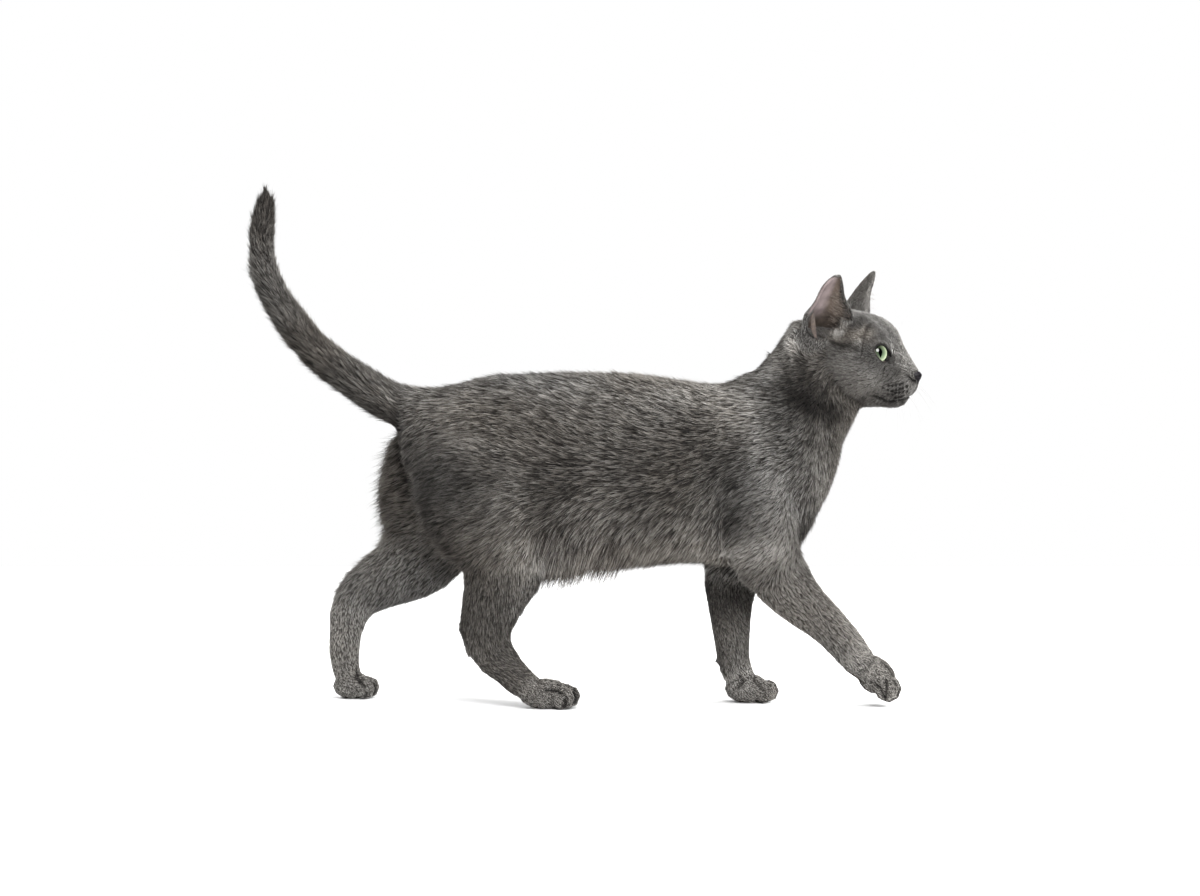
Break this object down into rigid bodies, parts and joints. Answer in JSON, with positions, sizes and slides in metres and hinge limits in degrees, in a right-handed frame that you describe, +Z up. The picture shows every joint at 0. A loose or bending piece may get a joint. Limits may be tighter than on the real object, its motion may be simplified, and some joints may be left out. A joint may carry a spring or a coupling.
{
  "type": "domestic cat",
  "caption": "Life-size walking short-haired cat with a grey coat, raised tail and turned head, one fore foot just above the floor.",
  "frame": {"origin": "on the floor, under the middle of the box round the whole cat", "axes": "+X ahead of the cat, +Y to its left, +Z up"},
  "size_m": [0.5362, 0.1098, 0.4111],
  "materials": {
    "coat": "short dense matt fur",
    "ear_skin": "thin skin with sparse fur",
    "nose_leather": "moist and finely pebbled",
    "eye": "wet and clear"
  },
  "bodies": {
    "root": {"torso": "coat", "neck": "coat", "head": "coat", "nose": "nose_leather", "ear_left": "ear_skin", "ear_right": "ear_skin", "eye_left": "eye", "eye_right": "eye", "tail_base": "coat", "tail_middle": "coat", "tail_tip": "coat", "front_right_upper_arm": "coat", "front_right_forearm": "coat", "front_right_paw": "coat", "front_left_upper_arm": "coat", "front_left_forearm": "coat", "front_left_paw": "coat", "hind_right_thigh": "coat", "hind_right_shank": "coat", "hind_right_metatarsus": "coat", "hind_right_paw": "coat", "hind_left_thigh": "coat", "hind_left_shank": "coat", "hind_left_metatarsus": "coat", "hind_left_paw": "coat"}
  },
  "joints": []
}
